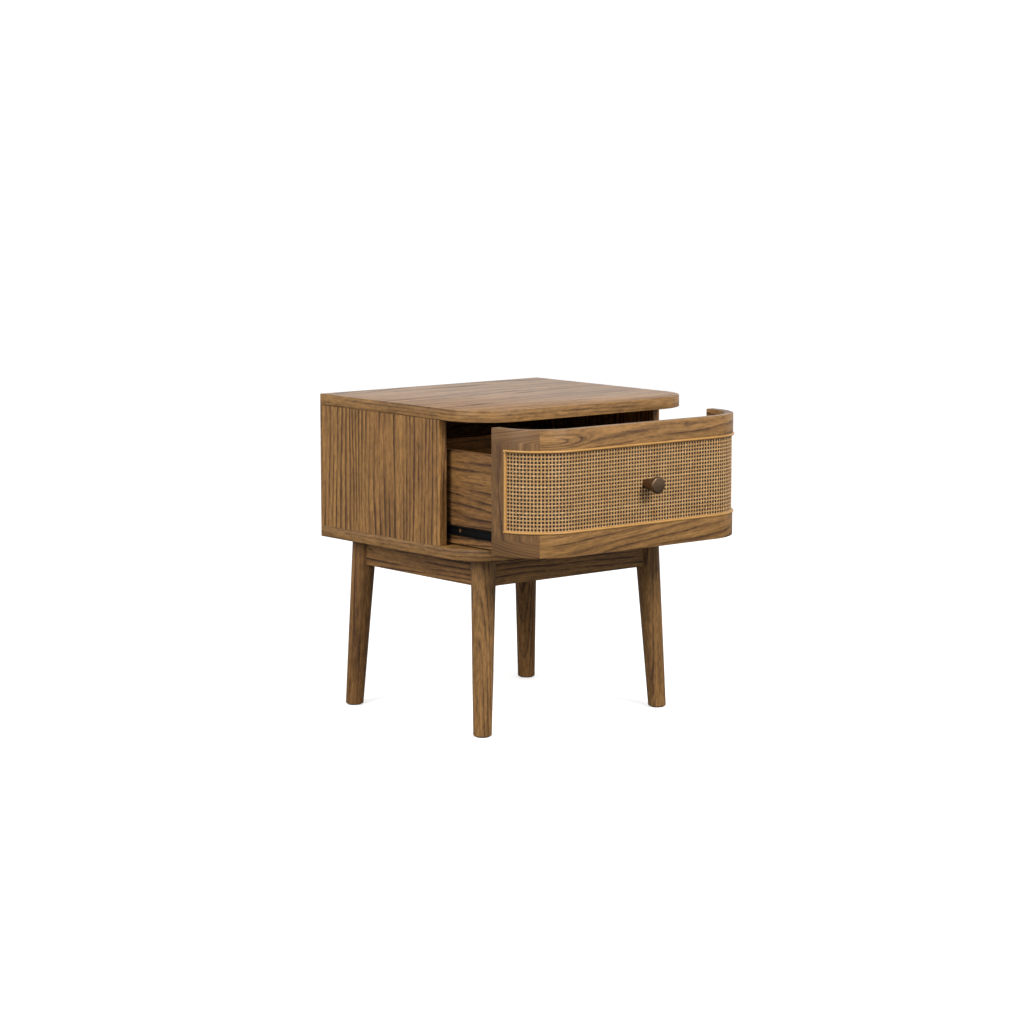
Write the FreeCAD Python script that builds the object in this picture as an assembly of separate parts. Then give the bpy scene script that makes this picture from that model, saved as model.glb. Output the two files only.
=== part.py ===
"""Nightstand: a box with rounded front corners, one cane-faced drawer, and a splayed round-leg frame.

Millimetres, +Z up, the front looks towards -Y and left is -X.  The pieces are drawn with the case's
front plane at y = 0 and the floor at z = 0, and are moved as they are written, so that the origin
is on the floor under the middle of the nightstand as it stands with its drawer partly open.
"""
import FreeCAD, Part
import math
import os

Vector = FreeCAD.Vector

# Case
CASE_W = 448.0
CASE_D = 397.0
CASE_H = 500.0
CASE_FLOOR = 273.0
CORNER_R = 80.0
PANEL_T = 18.0
SIDE_T = 14.0
SIDE_FRONT = 94.5
BACK_T = 6.0
BACK_INSET = 3.0
BACK_REBATE = 7.0
EDGE_R = 0.8

# Base frame
LEG_X = 166.3
LEG_FRONT = 60.6
LEG_REAR = 358.3
LEG_TOP_R = 19.6
LEG_FOOT_R = 14.2
SPLAY = 13.5
FOOT_ROUND = 1.5
GLIDE_T = 1.5
GLIDE_R = 10.5
APRON_T = 19.0
APRON_H = 45.0
BLOCK_LEG = 46.0
BLOCK_H = 34.0
BLOCK_SCREW_SHARE = 0.36

# Drawer
OPEN_AT_REST = 122.5
SHELL_T = 14.0
SHELL_DEPTH = 93.5
SHELL_GAP = 1.0
WINDOW_LOW = 35.0
WINDOW_H = 123.7
STILE_W = 27.0
SPLINE_W = 3.9
SPLINE_PROUD = 2.0
SPLINE_DEPTH = 5.5
SPLINE_ROUND = 1.7
CANE_T = 1.2
CANE_BELOW = 1.8
BACKING_T = 0.6
BOX_W = 400.0
BOX_FRONT = 46.0
BOX_REAR = 354.0
BOX_LOW = 294.0
BOX_H = 141.0
BOX_T = 12.0
BOX_BOTTOM_T = 5.0
BOX_BOTTOM_LIFT = 8.0
GROOVE = 5.0
FRONT_BLOCK_X = (55.0, 105.0)
FRONT_BLOCK_Z = (322.0, 410.0)

# Knob
KNOB_Z = 389.0
KNOB_OUT = 27.0
KNOB_R = 13.0
KNOB_NECK_R = 7.8
KNOB_DISC_T = 6.5
KNOB_CHAMFER = 1.6
KNOB_COLLAR_L = 3.0
KNOB_UNDERCUT = 1.6
KNOB_RIM = 1.0

# Drawer slides
SLIDE_Z = 315.0
SLIDE_REAR = 376.0
CASE_MEMBER_FRONT = 96.5
CASE_MEMBER_H = 22.0
DRAWER_MEMBER_FRONT = 84.0
DRAWER_MEMBER_H = 14.0
STEEL = 1.2
TAB_GAP = 0.5
CASE_FLANGE = 8.5
DRAWER_FLANGE = 7.0
CAGE_FRONT = 205.0
CAGE_LENGTH = 150.0
CAGE_T = 0.6
CAGE_CLEAR = 0.6
CAGE_LIP_SHORT = 1.0
BALL_R = 1.2
BALLS_PER_ROW = 6

# Fasteners
DOWEL_R = 4.0
THIN_DOWEL_R = 3.0
DOWEL_L = 30.0
CASE_DOWEL_BITE = 18.0
CASE_DOWEL_ENDS = (32.0, 40.0)
APRON_DOWEL_START = 8.0
APRON_DOWEL_EDGE = 12.0
BOX_DOWEL_L = 24.0
BOX_DOWEL_INSET = 3.0
BOX_DOWEL_HEIGHTS = (45.0, 111.0)
SCREW_R = 2.0
SMALL_SCREW_R = 1.5
COUNTERSINK = 1.9
BACK_SCREW_L = 18.0
BACK_SCREW_EDGE = 25.0
FRAME_SCREW_BITE = 11.0
FRONT_SCREW_L = 50.0
FRONT_SCREW_EDGE = 20.0
KNOB_SCREW_BITE = 12.0
KNOB_SCREW_HEAD = (4.0, 2.6)
SLIDE_SCREW_L = 10.0
CASE_SLIDE_SCREWS = (20.0, 130.0, 260.0)
DRAWER_SLIDE_SCREWS = (16.0, 112.0, 252.0)

# How far a cutter passes a face, and how close two places count as one
PAST = 1.0
SAME = 0.01

# Worked out from the above
HALF_W = CASE_W / 2
INNER_X = HALF_W - SIDE_T
BOX_X = BOX_W / 2
CASE_LOW = CASE_FLOOR + PANEL_T
CASE_HIGH = CASE_H - PANEL_T
SHELL_LOW = CASE_LOW + SHELL_GAP
SHELL_HIGH = CASE_HIGH - SHELL_GAP
WINDOW_Z0 = SHELL_LOW + WINDOW_LOW
WINDOW_Z1 = WINDOW_Z0 + WINDOW_H
FRONT_Y = (OPEN_AT_REST + KNOB_OUT - CASE_D) / 2
UP = Vector(0, 0, 1)
DOWN = Vector(0, 0, -1)
RIGHT = Vector(1, 0, 0)
LEFT = Vector(-1, 0, 0)
BACKWARD = Vector(0, 1, 0)
FORWARD = Vector(0, -1, 0)


# Shapes that several pieces share

def box(x0, x1, y0, y1, z0, z1):
    """A block between two opposite corners."""
    return Part.makeBox(x1 - x0, y1 - y0, z1 - z0, Vector(x0, y0, z0))


def mirrored(shape):
    """The same piece on the other side of the nightstand."""
    return shape.mirror(Vector(0, 0, 0), Vector(1, 0, 0))


def both_sides(shapes):
    """Each shape and its mirror image."""
    return shapes + [mirrored(s) for s in shapes]


def without(shape, cutters):
    """The shape with the room for other pieces cut out of it."""
    return shape.cut(Part.makeCompound(cutters))


def polar(centre, radius, degrees):
    """A point in plan at an angle round a centre."""
    t = math.radians(degrees)
    return centre + Vector(radius * math.cos(t), radius * math.sin(t), 0)


def arc(centre, radius, start, end):
    """A plan arc between two angles."""
    middle = (start + end) / 2
    points = [polar(centre, radius, a) for a in (start, middle, end)]
    return Part.Arc(*points).toShape()


def closed_prism(edges, z0, z1):
    """The solid above a closed plan outline."""
    wire = Part.Wire(Part.__sortEdges__(edges))
    return Part.Face(wire).translated(Vector(0, 0, z0)).extrude(Vector(0, 0, z1 - z0))


def corner_centre(side):
    """Centre of a front corner's curve: side is -1 on the left and 1 on the right."""
    return Vector(side * (HALF_W - CORNER_R), CORNER_R, 0)


def front_curve(inset, turn=0.0):
    """Left corner arc, straight front and right corner arc, inset from the case's outline.

    The arcs stop short of the sides by the angle turn.
    """
    radius = CORNER_R - inset
    left = arc(corner_centre(-1), radius, 180 + turn, 270)
    right = arc(corner_centre(1), radius, 270, 360 - turn)
    front = Part.makeLine(polar(corner_centre(-1), radius, 270), polar(corner_centre(1), radius, 270))
    return [left, front, right]


def side_lines(inset, rear):
    """The two straight sides that go on from the corner arcs to a depth."""
    x = HALF_W - inset
    return [Part.makeLine(Vector(s * x, CORNER_R, 0), Vector(s * x, rear, 0)) for s in (-1, 1)]


def bent_band(inset_out, inset_in, rear, z0, z1):
    """A wall that follows the front and both corners, and ends square at a depth."""
    edges = front_curve(inset_out) + front_curve(inset_in)
    edges += side_lines(inset_out, rear) + side_lines(inset_in, rear)
    for s in (-1, 1):
        outer = Vector(s * (HALF_W - inset_out), rear, 0)
        inner = Vector(s * (HALF_W - inset_in), rear, 0)
        edges.append(Part.makeLine(outer, inner))
    return closed_prism(edges, z0, z1)


def turn_at(length):
    """Angle on a corner arc at a distance along the face from the shell's rear end."""
    return math.degrees((length - (SHELL_DEPTH - CORNER_R)) / CORNER_R)


def window_band(inset_out, inset_in, length, z0, z1):
    """A strip round the front whose ends are a distance from the shell's rear ends."""
    turn = turn_at(length)
    edges = front_curve(inset_out, turn) + front_curve(inset_in, turn)
    for s, angle in ((-1, 180 + turn), (1, 360 - turn)):
        outer = polar(corner_centre(s), CORNER_R - inset_out, angle)
        inner = polar(corner_centre(s), CORNER_R - inset_in, angle)
        edges.append(Part.makeLine(outer, inner))
    return closed_prism(edges, z0, z1)


def arc_block(inset_out, inset_in, length0, length1, z0, z1):
    """A short upright strip on the left corner, between two distances along the face."""
    a0 = 180 + turn_at(length0)
    a1 = 180 + turn_at(length1)
    centre = corner_centre(-1)
    r_out = CORNER_R - inset_out
    r_in = CORNER_R - inset_in
    edges = [arc(centre, r_out, a0, a1), arc(centre, r_in, a0, a1)]
    for a in (a0, a1):
        edges.append(Part.makeLine(polar(centre, r_out, a), polar(centre, r_in, a)))
    return closed_prism(edges, z0, z1)


def rounded(shape, radius, chosen):
    """Fillets the edges that the test picks."""
    return shape.makeFillet(radius, [e for e in shape.Edges if chosen(e)])


def level_edge(edge, z):
    """Whether an edge lies wholly at a height."""
    b = edge.BoundBox
    return abs(b.ZMin - z) < SAME and abs(b.ZMax - z) < SAME


def long_level_edge(edge, z, width):
    """Whether an edge runs along a board's face at a height, and not across its end."""
    return level_edge(edge, z) and edge.Length > width + PAST


def rod(start, direction, length, radius):
    """A plain round rod, such as a dowel."""
    return Part.makeCylinder(radius, length, start, direction)


def screw(head, direction, length, radius):
    """A countersunk wood screw: its head is flush at the start and it runs along the direction."""
    sink = radius * COUNTERSINK
    cone = Part.makeCone(sink, radius, sink - radius, head, direction)
    return cone.fuse(rod(head, direction, length, radius)).removeSplitter()


# Case

def bow_panel(z0):
    """The top or the bottom board, with round front corners and eased edges."""
    rear = Part.makeLine(Vector(-HALF_W, CASE_D, 0), Vector(HALF_W, CASE_D, 0))
    edges = front_curve(0) + side_lines(0, CASE_D) + [rear]
    z1 = z0 + PANEL_T
    board = closed_prism(edges, z0, z1)
    return rounded(board, EDGE_R, lambda e: level_edge(e, z0) or level_edge(e, z1))


def case_dowels():
    """Upright dowels that join the side panels to the top and bottom boards."""
    x = -HALF_W + SIDE_T / 2
    first = SIDE_FRONT + CASE_DOWEL_ENDS[0]
    last = CASE_D - CASE_DOWEL_ENDS[1]
    dowels = []
    for y in (first, (first + last) / 2, last):
        dowels.append(rod(Vector(x, y, CASE_HIGH - CASE_DOWEL_BITE), UP, DOWEL_L, THIN_DOWEL_R))
        dowels.append(rod(Vector(x, y, CASE_LOW + CASE_DOWEL_BITE), DOWN, DOWEL_L, THIN_DOWEL_R))
    return both_sides(dowels)


def side_panel():
    """Left side panel, rebated at the rear for the back panel."""
    panel = box(-HALF_W, -INNER_X, SIDE_FRONT, CASE_D, CASE_LOW, CASE_HIGH)
    panel = rounded(panel, EDGE_R, lambda e: e.BoundBox.ZLength > PANEL_T and e.BoundBox.YMax < CASE_D)
    depth = CASE_D - BACK_T - BACK_INSET
    rebate = box(-INNER_X - BACK_REBATE, -INNER_X, depth, CASE_D, CASE_LOW, CASE_HIGH)
    return panel.cut(rebate)


def back_panel():
    """Thin back, let into the side panels."""
    x = INNER_X + BACK_REBATE
    rear = CASE_D - BACK_INSET
    return box(-x, x, rear - BACK_T, rear, CASE_LOW, CASE_HIGH)


def back_screws():
    """Screws that hold the back panel to the side panels."""
    x = -INNER_X - BACK_REBATE / 2
    y = CASE_D - BACK_INSET
    heights = (CASE_LOW + BACK_SCREW_EDGE, (CASE_LOW + CASE_HIGH) / 2, CASE_HIGH - BACK_SCREW_EDGE)
    return both_sides([screw(Vector(x, y, z), FORWARD, BACK_SCREW_L, SMALL_SCREW_R) for z in heights])


# Base frame

def leg(side, y, lean):
    """A round leg that tapers and splays outwards; lean is -1 towards the front and 1 towards the rear."""
    def ring(z, radius):
        out = SPLAY * (1 - z / CASE_FLOOR)
        centre = Vector(side * (LEG_X + out), y + lean * out, z)
        return Part.Wire(Part.makeCircle(radius, centre, UP))

    rings = [ring(GLIDE_T, LEG_FOOT_R - FOOT_ROUND), ring(GLIDE_T + FOOT_ROUND, LEG_FOOT_R)]
    rings.append(ring(CASE_FLOOR, LEG_TOP_R))
    return Part.makeLoft(rings, True, True)


def glide(side, y, lean):
    """The plastic glide under a foot."""
    centre = Vector(side * (LEG_X + SPLAY), y + lean * SPLAY, 0)
    return Part.makeCylinder(GLIDE_R, GLIDE_T, centre, UP)


def apron_along_x(y):
    """A front or rear rail between the legs, before its ends are coped."""
    rail = box(-LEG_X, LEG_X, y - APRON_T / 2, y + APRON_T / 2, CASE_FLOOR - APRON_H, CASE_FLOOR)
    return rounded(rail, EDGE_R, lambda e: long_level_edge(e, CASE_FLOOR - APRON_H, APRON_T))


def apron_along_y(side):
    """A side rail between the legs, before its ends are coped."""
    x = side * LEG_X
    rail = box(x - APRON_T / 2, x + APRON_T / 2, LEG_FRONT, LEG_REAR, CASE_FLOOR - APRON_H, CASE_FLOOR)
    return rounded(rail, EDGE_R, lambda e: long_level_edge(e, CASE_FLOOR - APRON_H, APRON_T))


def apron_dowels():
    """Two dowels in each joint between a rail and a leg."""
    dowels = []
    for z in (CASE_FLOOR - APRON_H + APRON_DOWEL_EDGE, CASE_FLOOR - APRON_DOWEL_EDGE):
        for y, inward in ((LEG_FRONT, BACKWARD), (LEG_REAR, FORWARD)):
            for way in (inward, RIGHT):
                start = Vector(-LEG_X, y, z) + way * APRON_DOWEL_START
                dowels.append(rod(start, way, DOWEL_L, DOWEL_R))
    return both_sides(dowels)


def corner_block(y, inward):
    """Three-cornered block glued inside a left corner of the frame."""
    x0 = -LEG_X + APRON_T / 2
    y0 = y + inward * APRON_T / 2
    z0 = CASE_FLOOR - BLOCK_H
    points = [Vector(x0, y0, z0), Vector(x0 + BLOCK_LEG, y0, z0), Vector(x0, y0 + inward * BLOCK_LEG, z0)]
    outline = Part.makePolygon(points + points[:1])
    return Part.Face(outline).extrude(Vector(0, 0, BLOCK_H))


def frame_screws():
    """Screws up through the corner blocks into the bottom board."""
    reach = APRON_T / 2 + BLOCK_LEG * BLOCK_SCREW_SHARE
    screws = []
    for y in (LEG_FRONT + reach, LEG_REAR - reach):
        head = Vector(-LEG_X + reach, y, CASE_FLOOR - BLOCK_H)
        screws.append(screw(head, UP, BLOCK_H + FRAME_SCREW_BITE, SCREW_R))
    return both_sides(screws)


# Drawer

def splines():
    """The four rattan splines: along the top, along the bottom, and upright at each end."""
    top = window_band(-SPLINE_PROUD, SPLINE_DEPTH, STILE_W, WINDOW_Z1 - SPLINE_W, WINDOW_Z1)
    low = window_band(-SPLINE_PROUD, SPLINE_DEPTH, STILE_W, WINDOW_Z0, WINDOW_Z0 + SPLINE_W)
    z0 = WINDOW_Z0 + SPLINE_W
    z1 = WINDOW_Z1 - SPLINE_W
    left = arc_block(-SPLINE_PROUD, SPLINE_DEPTH, STILE_W, STILE_W + SPLINE_W, z0, z1)
    return top, low, left


def rounded_spline(spline):
    """Rounds the outer long edges of a spline that runs along the front."""
    def outer_edge(e):
        return e.BoundBox.ZLength < SAME and on_outer_face(e)

    return rounded(spline, SPLINE_ROUND, outer_edge)


def on_outer_face(edge):
    """Whether both ends of an edge are on the splines' outermost face."""
    for vertex in edge.Vertexes:
        p = vertex.Point
        beyond = max(abs(p.x) - (HALF_W - CORNER_R), 0)
        distance = math.hypot(beyond, p.y - CORNER_R) if beyond > SAME else CORNER_R - p.y
        if distance < CORNER_R + SPLINE_PROUD - SAME:
            return False
    return True


def rounded_upright(spline):
    """Rounds the outer long edges of an upright spline."""
    return rounded(spline, SPLINE_ROUND, lambda e: e.BoundBox.ZLength > SPLINE_W and on_outer_face(e))


def shell(spline_room):
    """The bent front: one moulded shell with a shallow window cut into its outer face."""
    body = bent_band(0, SHELL_T, SHELL_DEPTH, SHELL_LOW, SHELL_HIGH)
    body = rounded(body, EDGE_R, lambda e: level_edge(e, SHELL_LOW) or level_edge(e, SHELL_HIGH))
    depth = CANE_BELOW + CANE_T + BACKING_T
    window = cane_field(-PAST, depth)
    return without(body, [window] + spline_room)


def cane_field(inset_out, inset_in):
    """The part of the window inside the splines, between two depths."""
    z0 = WINDOW_Z0 + SPLINE_W
    z1 = WINDOW_Z1 - SPLINE_W
    return window_band(inset_out, inset_in, STILE_W + SPLINE_W, z0, z1)


def drawer_side():
    """Left side of the drawer box."""
    side = box(-BOX_X, -BOX_X + BOX_T, BOX_FRONT, BOX_REAR, BOX_LOW, BOX_LOW + BOX_H)
    return rounded(side, EDGE_R, lambda e: long_level_edge(e, BOX_LOW + BOX_H, BOX_T))


def drawer_end(y0):
    """The inner front or the back of the drawer box, between the sides."""
    x = BOX_X - BOX_T
    end = box(-x, x, y0, y0 + BOX_T, BOX_LOW, BOX_LOW + BOX_H)
    return rounded(end, EDGE_R, lambda e: long_level_edge(e, BOX_LOW + BOX_H, BOX_T))


def drawer_bottom():
    """Thin bottom, let into all four walls of the box."""
    x = BOX_X - BOX_T + GROOVE
    y0 = BOX_FRONT + BOX_T - GROOVE
    y1 = BOX_REAR - BOX_T + GROOVE
    z0 = BOX_LOW + BOX_BOTTOM_LIFT
    return box(-x, x, y0, y1, z0, z0 + BOX_BOTTOM_T)


def drawer_dowels():
    """Dowels in the corners of the drawer box."""
    dowels = []
    for y in (BOX_FRONT + BOX_T / 2, BOX_REAR - BOX_T / 2):
        for height in BOX_DOWEL_HEIGHTS:
            start = Vector(-BOX_X + BOX_DOWEL_INSET, y, BOX_LOW + height)
            dowels.append(rod(start, RIGHT, BOX_DOWEL_L, THIN_DOWEL_R))
    return both_sides(dowels)


def front_block():
    """Left spacer block between the bent front and the drawer box."""
    return box(-FRONT_BLOCK_X[1], -FRONT_BLOCK_X[0], SHELL_T, BOX_FRONT, *FRONT_BLOCK_Z)


def front_screws():
    """Screws from inside the drawer, through the blocks, into the bent front."""
    x = -sum(FRONT_BLOCK_X) / 2
    y = BOX_FRONT + BOX_T
    heights = (FRONT_BLOCK_Z[0] + FRONT_SCREW_EDGE, FRONT_BLOCK_Z[1] - FRONT_SCREW_EDGE)
    return both_sides([screw(Vector(x, y, z), FORWARD, FRONT_SCREW_L, SCREW_R) for z in heights])


# Knob

def knob():
    """Turned metal knob: a neck that flares into a chamfered disc."""
    back = CANE_BELOW
    shoulder = -KNOB_OUT + KNOB_DISC_T
    outline = [
        Vector(0, back, 0),
        Vector(KNOB_NECK_R, back, 0),
        Vector(KNOB_NECK_R, back - KNOB_COLLAR_L, 0),
        Vector(KNOB_R - KNOB_UNDERCUT, shoulder, 0),
        Vector(KNOB_R, shoulder - KNOB_RIM, 0),
        Vector(KNOB_R, -KNOB_OUT + KNOB_CHAMFER, 0),
        Vector(KNOB_R - KNOB_CHAMFER, -KNOB_OUT, 0),
        Vector(0, -KNOB_OUT, 0),
    ]
    face = Part.Face(Part.makePolygon(outline + outline[:1]))
    solid = face.revolve(Vector(0, 0, 0), FORWARD, 360)
    return solid.translated(Vector(0, 0, KNOB_Z))


def knob_screw():
    """Machine screw with a pan head inside the bent front."""
    radius, thickness = KNOB_SCREW_HEAD
    head = rod(Vector(0, SHELL_T, KNOB_Z), BACKWARD, thickness, radius)
    shank = rod(Vector(0, SHELL_T, KNOB_Z), FORWARD, SHELL_T + KNOB_SCREW_BITE, SCREW_R)
    return head.fuse(shank).removeSplitter()


# Drawer slides, left side

def channel(x0, x1, mouth, front, half):
    """A steel channel along a slide, from its web at x0 to its lips at x1; mouth is 1 if it opens to +X."""
    block = box(min(x0, x1), max(x0, x1), front, SLIDE_REAR, SLIDE_Z - half, SLIDE_Z + half)
    ends = sorted((x0 + mouth * STEEL, x1 + mouth * PAST))
    inside = half - STEEL
    room = box(*ends, front - PAST, SLIDE_REAR + PAST, SLIDE_Z - inside, SLIDE_Z + inside)
    return block.cut(room)


def case_member():
    """Channel on the case side, open towards the drawer, with a stop tab at its rear."""
    half = CASE_MEMBER_H / 2
    x1 = -INNER_X + CASE_FLANGE
    body = channel(-INNER_X, x1, 1, CASE_MEMBER_FRONT, half)
    tab_y = SLIDE_REAR + TAB_GAP
    web = box(-INNER_X, -INNER_X + STEEL, SLIDE_REAR, tab_y, SLIDE_Z - half, SLIDE_Z + half)
    tab = box(-INNER_X, x1, tab_y, tab_y + STEEL, SLIDE_Z - half, SLIDE_Z + half)
    return body.fuse([web, tab]).removeSplitter()


def drawer_member():
    """Channel on the drawer side, open towards the case."""
    return channel(-BOX_X, -BOX_X - DRAWER_FLANGE, -1, DRAWER_MEMBER_FRONT, DRAWER_MEMBER_H / 2)


def ball_gap_middle():
    """Height of the upper row of balls above the slide's middle."""
    return (DRAWER_MEMBER_H / 2 + CASE_MEMBER_H / 2 - STEEL) / 2


def cage_sides():
    """The cage's outer face and the ends of its lips, in x."""
    return -INNER_X + STEEL + CAGE_CLEAR, -INNER_X + CASE_FLANGE - CAGE_LIP_SHORT


def balls():
    """Two rows of balls between the two channels."""
    x0, x1 = cage_sides()
    step = CAGE_LENGTH / BALLS_PER_ROW
    rows = []
    for z in (SLIDE_Z - ball_gap_middle(), SLIDE_Z + ball_gap_middle()):
        for i in range(BALLS_PER_ROW):
            y = CAGE_FRONT + step * (i + 0.5)
            rows.append(Part.makeSphere(BALL_R, Vector((x0 + CAGE_T + x1) / 2, y, z)))
    return rows


def ball_cage(ball_room):
    """Thin bent strip that keeps the balls apart."""
    x0, x1 = cage_sides()
    high = ball_gap_middle() + CAGE_T / 2
    low = high - CAGE_T
    rear = CAGE_FRONT + CAGE_LENGTH
    block = box(x0, x1, CAGE_FRONT, rear, SLIDE_Z - high, SLIDE_Z + high)
    room = box(x0 + CAGE_T, x1 + PAST, CAGE_FRONT - PAST, rear + PAST, SLIDE_Z - low, SLIDE_Z + low)
    return without(block.cut(room), ball_room)


def slide_screws(x, direction, front, places):
    """Small countersunk screws along a left slide member."""
    return [screw(Vector(x, front + y, SLIDE_Z), direction, SLIDE_SCREW_L, SMALL_SCREW_R) for y in places]


# Writing the pieces, each in the place where it rests

def write(name, solids, out=0.0):
    """Moves a piece to its resting place, out of the case by a distance, and writes it."""
    shape = solids[0] if len(solids) == 1 else Part.makeCompound(solids)
    shape.translate(Vector(0, FRONT_Y - out, 0))
    shape.exportStep("parts/" + name + ".step")


def write_pair(name, shape, out=0.0):
    """Writes a left piece and its mirror image."""
    write(name + "_right", [mirrored(shape)], out)
    write(name + "_left", [shape], out)


def write_case():
    """Boards, back, slide channels and their fasteners."""
    dowels = case_dowels()
    screws = back_screws()
    member_screws = slide_screws(-INNER_X + STEEL, LEFT, CASE_MEMBER_FRONT, CASE_SLIDE_SCREWS)
    write("top_panel", [without(bow_panel(CASE_HIGH), dowels)])
    write("bottom_panel", [without(bow_panel(CASE_FLOOR), dowels + frame_screws())])
    write_pair("side_panel", without(side_panel(), dowels + screws + member_screws))
    write("back_panel", [without(back_panel(), screws)])
    write_pair("slide_case_member", without(case_member(), member_screws))
    write("slide_case_screws", both_sides(member_screws))
    write("case_dowels", dowels)
    write("back_panel_screws", screws)


def write_base():
    """Legs, rails, blocks and what holds them."""
    dowels = apron_dowels()
    screws = frame_screws()
    corners = [("front_left", -1, LEG_FRONT, -1), ("front_right", 1, LEG_FRONT, -1)]
    corners += [("rear_left", -1, LEG_REAR, 1), ("rear_right", 1, LEG_REAR, 1)]
    legs = {name: leg(side, y, lean) for name, side, y, lean in corners}
    blocks = both_sides([corner_block(LEG_FRONT, 1), corner_block(LEG_REAR, -1)])
    cut = list(legs.values()) + dowels
    write("apron_front", [without(apron_along_x(LEG_FRONT), cut)])
    write("apron_rear", [without(apron_along_x(LEG_REAR), cut)])
    write("apron_left", [without(apron_along_y(-1), cut)])
    write("apron_right", [without(apron_along_y(1), cut)])
    write("corner_blocks", [without(b, list(legs.values()) + screws) for b in blocks])
    write("frame_screws", screws)
    write("apron_dowels", dowels)
    write("foot_glides", [glide(side, y, lean) for _, side, y, lean in corners])
    for name, shape in legs.items():
        write("leg_" + name, [without(shape, dowels)])


def write_drawer_front():
    """Bent front, cane, backing, splines and knob."""
    top, low, left = splines()
    room = [top, low, left, mirrored(left)]
    screw_through = knob_screw()
    turned = knob()
    fixings = front_screws()
    cane_in = CANE_BELOW + CANE_T
    front = without(shell(room), [screw_through] + fixings)
    cane = cane_field(CANE_BELOW, cane_in).cut(screw_through)
    backing = cane_field(cane_in, cane_in + BACKING_T).cut(screw_through)
    write("drawer_front_shell", [front], OPEN_AT_REST)
    write("cane_webbing", [cane], OPEN_AT_REST)
    write("cane_backing", [backing], OPEN_AT_REST)
    write("cane_spline_top", [rounded_spline(top)], OPEN_AT_REST)
    write("cane_spline_bottom", [rounded_spline(low)], OPEN_AT_REST)
    write_pair("cane_spline", rounded_upright(left), OPEN_AT_REST)
    write("knob", [turned.cut(screw_through)], OPEN_AT_REST)
    write("knob_screw", [screw_through], OPEN_AT_REST)
    write("front_screws", fixings, OPEN_AT_REST)


def write_drawer_box():
    """Drawer box, its spacer blocks, and the drawer's half of the slides."""
    dowels = drawer_dowels()
    fixings = front_screws()
    bottom = drawer_bottom()
    member_screws = slide_screws(-BOX_X - STEEL, RIGHT, DRAWER_MEMBER_FRONT, DRAWER_SLIDE_SCREWS)
    cut = dowels + [bottom]
    side = without(drawer_side(), dowels + member_screws + [bottom])
    blocks = both_sides([front_block()])
    write_pair("drawer_side", side, OPEN_AT_REST)
    write("drawer_inner_front", [without(drawer_end(BOX_FRONT), cut + fixings)], OPEN_AT_REST)
    write("drawer_back", [without(drawer_end(BOX_REAR - BOX_T), cut)], OPEN_AT_REST)
    write("drawer_bottom", [bottom], OPEN_AT_REST)
    write("front_blocks", [without(b, fixings) for b in blocks], OPEN_AT_REST)
    write("drawer_dowels", dowels, OPEN_AT_REST)
    write_pair("slide_drawer_member", without(drawer_member(), member_screws), OPEN_AT_REST)
    write("slide_drawer_screws", both_sides(member_screws), OPEN_AT_REST)


def write_cages():
    """Ball cages, which travel half as far as the drawer."""
    left = balls()
    cage = ball_cage(left)
    out = OPEN_AT_REST / 2
    write("slide_balls_right", [mirrored(b) for b in left], out)
    write("slide_balls_left", left, out)
    write_pair("slide_cage", cage, out)


os.makedirs("parts", exist_ok=True)
write_case()
write_base()
write_drawer_front()
write_drawer_box()
write_cages()
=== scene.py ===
"""A nightstand with one cane-faced drawer, on a frame of splayed round legs, in a white studio."""
import bmesh
import bpy
import math
import random
from mathutils import Matrix, Vector


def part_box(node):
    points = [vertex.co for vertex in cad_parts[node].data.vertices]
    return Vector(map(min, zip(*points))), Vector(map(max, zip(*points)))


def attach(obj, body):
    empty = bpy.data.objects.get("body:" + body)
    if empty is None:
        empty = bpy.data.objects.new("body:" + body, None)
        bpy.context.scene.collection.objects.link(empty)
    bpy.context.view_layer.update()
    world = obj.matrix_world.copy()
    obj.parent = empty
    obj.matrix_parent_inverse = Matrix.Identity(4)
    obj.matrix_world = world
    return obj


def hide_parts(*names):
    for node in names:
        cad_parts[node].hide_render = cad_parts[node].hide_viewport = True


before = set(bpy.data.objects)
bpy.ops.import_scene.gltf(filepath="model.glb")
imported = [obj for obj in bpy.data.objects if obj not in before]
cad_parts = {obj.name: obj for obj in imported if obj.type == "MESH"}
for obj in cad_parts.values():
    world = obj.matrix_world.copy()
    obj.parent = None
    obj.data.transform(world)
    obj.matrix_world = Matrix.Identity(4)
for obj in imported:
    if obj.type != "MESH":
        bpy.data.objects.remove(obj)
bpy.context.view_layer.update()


# Legs.  Four round tapered legs, turned from solid wood and finished in a satin lacquer.
# Each leans outwards both ways, and its foot edge is eased.  The growth rings run through the
# whole leg, so the turned surface cuts them into long loops.

def wire(tree, socket, value):
    """Links an output into a socket, or sets the socket to a plain value."""
    if isinstance(value, bpy.types.NodeSocket):
        tree.links.new(value, socket)
    else:
        socket.default_value = value


def add_node(tree, kind, inputs, **settings):
    """A node with its settings made and its inputs linked or set."""
    made = tree.nodes.new(kind)
    for name, value in settings.items():
        setattr(made, name, value)
    for key, value in inputs.items():
        wire(tree, made.inputs[key], value)
    return made


def calc(tree, operation, a, b=0.0):
    """The result of a sum on one or two numbers."""
    return add_node(tree, "ShaderNodeMath", {0: a, 1: b}, operation=operation).outputs[0]


def calc_vector(tree, operation, a, b=(0, 0, 0)):
    """The outputs of a sum on one or two vectors."""
    return add_node(tree, "ShaderNodeVectorMath", {0: a, 1: b}, operation=operation).outputs


def blend_colour(tree, share, a, b, how="MIX"):
    """Two colours mixed by a share."""
    made = add_node(tree, "ShaderNodeMix", {0: share, 6: a, 7: b}, data_type="RGBA", blend_type=how)
    return made.outputs[2]


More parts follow.
